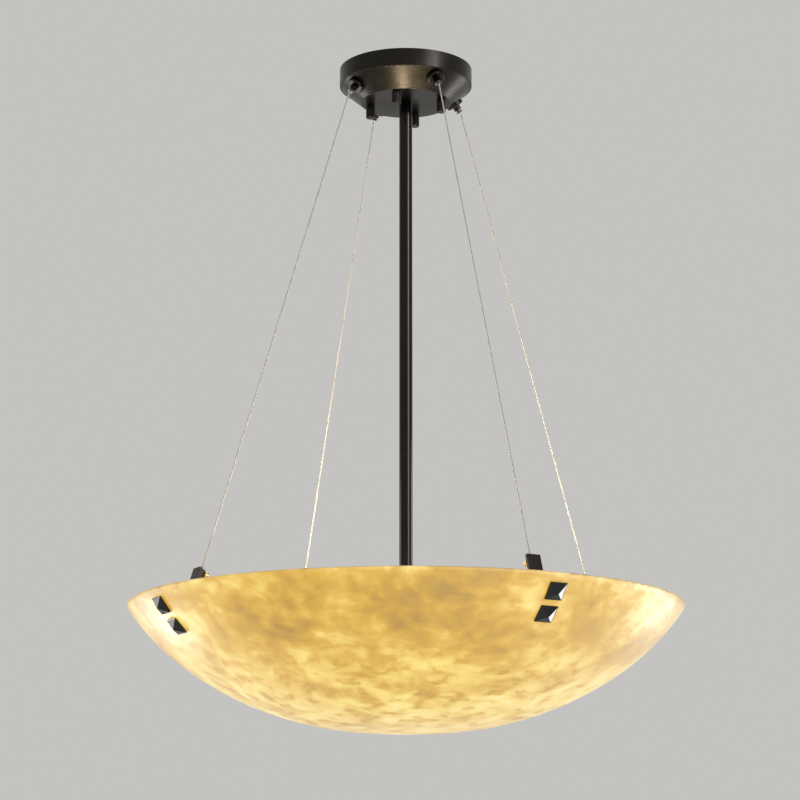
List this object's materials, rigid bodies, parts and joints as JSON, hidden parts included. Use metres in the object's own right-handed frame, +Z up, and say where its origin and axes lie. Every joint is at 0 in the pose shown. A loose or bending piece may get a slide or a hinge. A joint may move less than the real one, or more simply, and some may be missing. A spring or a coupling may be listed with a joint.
{
  "type": "alabaster bowl pendant",
  "caption": "Round translucent stone bowl hung on slanting steel cables from a conical ceiling canopy, with a central stem that carries a lamp cluster inside the bowl.",
  "frame": {"origin": "centre of the ceiling plane, where the mounting plate and the canopy's rim meet the ceiling", "axes": "+Z up along the stem, +X towards the first cable"},
  "size_m": [0.61, 0.61, 0.76],
  "materials": {
    "alabaster": "veined translucent alabaster, satin",
    "dark_metal": "brushed dark bronze, semi-gloss",
    "plunger_metal": "blackened, polished",
    "stud_metal": "polished gunmetal",
    "zinc_steel": "zinc plated",
    "cable_steel": "stranded wire rope, bright",
    "brass": "turned, bright",
    "ground_green": "green plated",
    "lamp_glass": "frosted white",
    "lamp_shell": "rolled thread shell",
    "holder_plastic": "glazed porcelain white",
    "pad_rubber": "matte",
    "wire_plastic": "heat resistant sleeve",
    "connector_plastic": "ribbed"
  },
  "bodies": {
    "ceiling_fixture": {"cable_ends": "cable_steel", "canopy": "dark_metal", "canopy_cap_nuts": "dark_metal", "ceiling_plate": "zinc_steel", "cluster_finial": "dark_metal", "cluster_hub": "dark_metal", "cluster_lid": "dark_metal", "cluster_nipple": "zinc_steel", "gripper_body_1": "dark_metal", "gripper_body_2": "dark_metal", "gripper_body_3": "dark_metal", "gripper_body_4": "dark_metal", "gripper_nuts": "zinc_steel", "ground_screw": "ground_green", "lamp_arms": "dark_metal", "lamp_bases": "lamp_shell", "lamp_glass_1": "lamp_glass", "lamp_glass_2": "lamp_glass", "lamp_glass_3": "lamp_glass", "lamp_glass_4": "lamp_glass", "lamp_holder_1": "holder_plastic", "lamp_holder_2": "holder_plastic", "lamp_holder_3": "holder_plastic", "lamp_holder_4": "holder_plastic", "stem": "dark_metal", "stem_couplings": "zinc_steel", "stem_lock_washer": "zinc_steel", "stem_locknut": "zinc_steel", "stem_wires": "wire_plastic", "support_nuts": "zinc_steel", "support_rods": "zinc_steel", "top_nipple": "zinc_steel", "wire_connectors": "connector_plastic"},
    "bowl": {"bowl": "alabaster", "bracket_1": "dark_metal", "bracket_2": "dark_metal", "bracket_3": "dark_metal", "bracket_4": "dark_metal", "cable_stops": "dark_metal", "stop_screws": "brass", "pyramid_studs": "stud_metal", "outer_pads": "pad_rubber", "inner_pads": "pad_rubber", "stud_washers": "zinc_steel", "stud_nuts": "zinc_steel"},
    "cable_1": {"cable_1": "cable_steel", "cable_ferrule_1": "cable_steel"},
    "plunger_1": {"gripper_plunger_1": "plunger_metal"},
    "cable_2": {"cable_2": "cable_steel", "cable_ferrule_2": "cable_steel"},
    "plunger_2": {"gripper_plunger_2": "plunger_metal"},
    "cable_3": {"cable_3": "cable_steel", "cable_ferrule_3": "cable_steel"},
    "plunger_3": {"gripper_plunger_3": "plunger_metal"},
    "cable_4": {"cable_4": "cable_steel", "cable_ferrule_4": "cable_steel"},
    "plunger_4": {"gripper_plunger_4": "plunger_metal"}
  },
  "joints": [
    {"name": "bowl_sway", "type": "hinge", "parent": "ceiling_fixture", "child": "bowl", "pos_m": [0, 0, 0.19807], "axis": [0, 1, 0], "range_deg": [-3, 3]},
    {"name": "cable_1_swing", "type": "hinge", "parent": "ceiling_fixture", "child": "cable_1", "pos_m": [0.07461, 0, -0.04026], "axis": [0, 1, 0], "range_deg": [-4.3, 4.3]},
    {"name": "plunger_1_press", "type": "slide", "parent": "ceiling_fixture", "child": "plunger_1", "axis": [-0.6428, 0, 0.766], "range_m": [0, 0.002], "stiffness_N_per_m": 1500, "springref_m": -0.002},
    {"name": "cable_2_swing", "type": "hinge", "parent": "ceiling_fixture", "child": "cable_2", "pos_m": [0, 0.07461, -0.04026], "axis": [0, 1, 0], "range_deg": [-4.3, 4.3]},
    {"name": "plunger_2_press", "type": "slide", "parent": "ceiling_fixture", "child": "plunger_2", "axis": [0, -0.6428, 0.766], "range_m": [0, 0.002], "stiffness_N_per_m": 1500, "springref_m": -0.002},
    {"name": "cable_3_swing", "type": "hinge", "parent": "ceiling_fixture", "child": "cable_3", "pos_m": [-0.07461, 0, -0.04026], "axis": [0, 1, 0], "range_deg": [-4.3, 4.3]},
    {"name": "plunger_3_press", "type": "slide", "parent": "ceiling_fixture", "child": "plunger_3", "axis": [0.6428, 0, 0.766], "range_m": [0, 0.002], "stiffness_N_per_m": 1500, "springref_m": -0.002},
    {"name": "cable_4_swing", "type": "hinge", "parent": "ceiling_fixture", "child": "cable_4", "pos_m": [0, -0.07461, -0.04026], "axis": [0, 1, 0], "range_deg": [-4.3, 4.3]},
    {"name": "plunger_4_press", "type": "slide", "parent": "ceiling_fixture", "child": "plunger_4", "axis": [0, 0.6428, 0.766], "range_m": [0, 0.002], "stiffness_N_per_m": 1500, "springref_m": -0.002}
  ],
  "couplings": [
    {"joint": "cable_1_swing", "follows": "bowl_sway", "ratio": 1.4228},
    {"joint": "cable_2_swing", "follows": "bowl_sway", "ratio": 1.4228},
    {"joint": "cable_3_swing", "follows": "bowl_sway", "ratio": 1.4228},
    {"joint": "cable_4_swing", "follows": "bowl_sway", "ratio": 1.4228}
  ]
}
